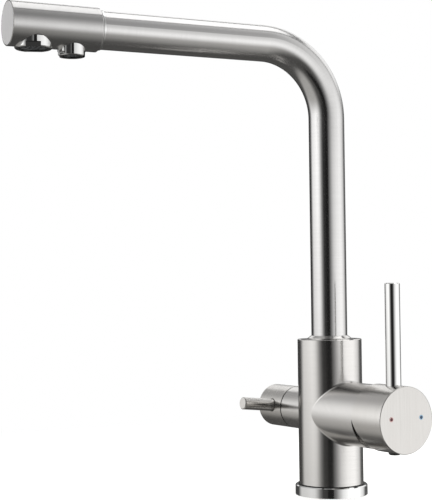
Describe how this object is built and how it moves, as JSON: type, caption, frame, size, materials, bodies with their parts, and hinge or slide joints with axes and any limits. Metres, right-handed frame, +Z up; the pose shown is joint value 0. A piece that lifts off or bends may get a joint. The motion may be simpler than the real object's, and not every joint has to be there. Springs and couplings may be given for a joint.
{
  "type": "kitchen tap",
  "caption": "Three way kitchen tap: swivel spout with aerator and filtered water nozzle, side lever mixer and a quarter turn filter valve.",
  "frame": {"origin": "centre of the base on the worktop", "axes": "+Z up, +X along the mixer handle, -Y the spout's home side"},
  "size_m": [0.1477, 0.2555, 0.3838],
  "materials": {
    "brushed_nickel": "satin",
    "polished_chrome": "polished",
    "satin_face": "matte",
    "brass": "machined",
    "black_nickel": "blackened",
    "stainless": "satin",
    "rubber": "matte",
    "white_plastic": "matte",
    "grey_plastic": "matte",
    "black_plastic": "matte",
    "ceramic": "lapped",
    "red_paint": "gloss",
    "blue_paint": "gloss",
    "pe_tube": "satin"
  },
  "bodies": {
    "base": {"base_ring": "polished_chrome", "base_gasket": "rubber", "tap_body": "brushed_nickel", "fixing_shank": "brass", "fixing_nut": "brass", "clamp_washer": "stainless", "clamp_rubber": "rubber", "spout_retaining_screw": "stainless", "cartridge_seal": "rubber", "cartridge_housing": "white_plastic", "fixed_ceramic_disc": "ceramic", "cartridge_nut": "black_nickel", "filter_seat_seal": "rubber", "filter_headwork": "black_nickel", "filter_fixed_disc": "ceramic"},
    "spout": {"spout_bush": "brass", "spout_o_rings": "rubber", "spout_slip_rings": "white_plastic", "spout_collar": "brushed_nickel", "spout_tube": "brushed_nickel", "filtered_water_tube": "pe_tube", "filtered_tube_seal": "rubber", "spout_head": "brushed_nickel", "head_end_cap": "satin_face", "head_ring": "polished_chrome", "outlet_block": "grey_plastic", "aerator_housing": "polished_chrome", "aerator_washer": "rubber", "aerator_insert": "grey_plastic", "filter_nozzle": "polished_chrome", "nozzle_washer": "rubber", "nozzle_insert": "grey_plastic"},
    "mixer_rotor": {"cartridge_rotor": "grey_plastic", "rotor_seal": "rubber", "pivot_pin": "stainless"},
    "mixer_disc": {"moving_ceramic_disc": "ceramic"},
    "mixer_handle": {"mixer_spindle": "brass", "handle_cap": "brushed_nickel", "mixer_lever": "polished_chrome", "handle_screw": "stainless", "screw_plug": "black_plastic", "hot_marker": "red_paint", "cold_marker": "blue_paint"},
    "filter_handle": {"filter_spindle": "brass", "filter_moving_disc": "ceramic", "filter_spindle_seal": "rubber", "filter_cap": "brushed_nickel", "filter_lever": "polished_chrome", "filter_screw": "stainless"}
  },
  "joints": [
    {"name": "spout_swivel", "type": "hinge", "parent": "base", "child": "spout", "pos_m": [0, 0, 0.1], "axis": [0, 0, 1], "continuous": true},
    {"name": "mixer_temperature", "type": "hinge", "parent": "base", "child": "mixer_rotor", "pos_m": [0.045, 0, 0.057], "axis": [1, 0, 0], "range_deg": [-45, 45]},
    {"name": "mixer_flow", "type": "hinge", "parent": "mixer_rotor", "child": "mixer_handle", "pos_m": [0.045, 0, 0.057], "axis": [0, 1, 0], "range_deg": [0, 20]},
    {"name": "disc_slide", "type": "slide", "parent": "mixer_rotor", "child": "mixer_disc", "axis": [0, 0, 1], "range_m": [0, 0.0042]},
    {"name": "filter_turn", "type": "hinge", "parent": "base", "child": "filter_handle", "pos_m": [-0.051, 0, 0.057], "axis": [-1, 0, 0], "range_deg": [-6, 84]}
  ],
  "couplings": [
    {"joint": "disc_slide", "follows": "mixer_flow", "m_per_rad": 0.01157}
  ]
}
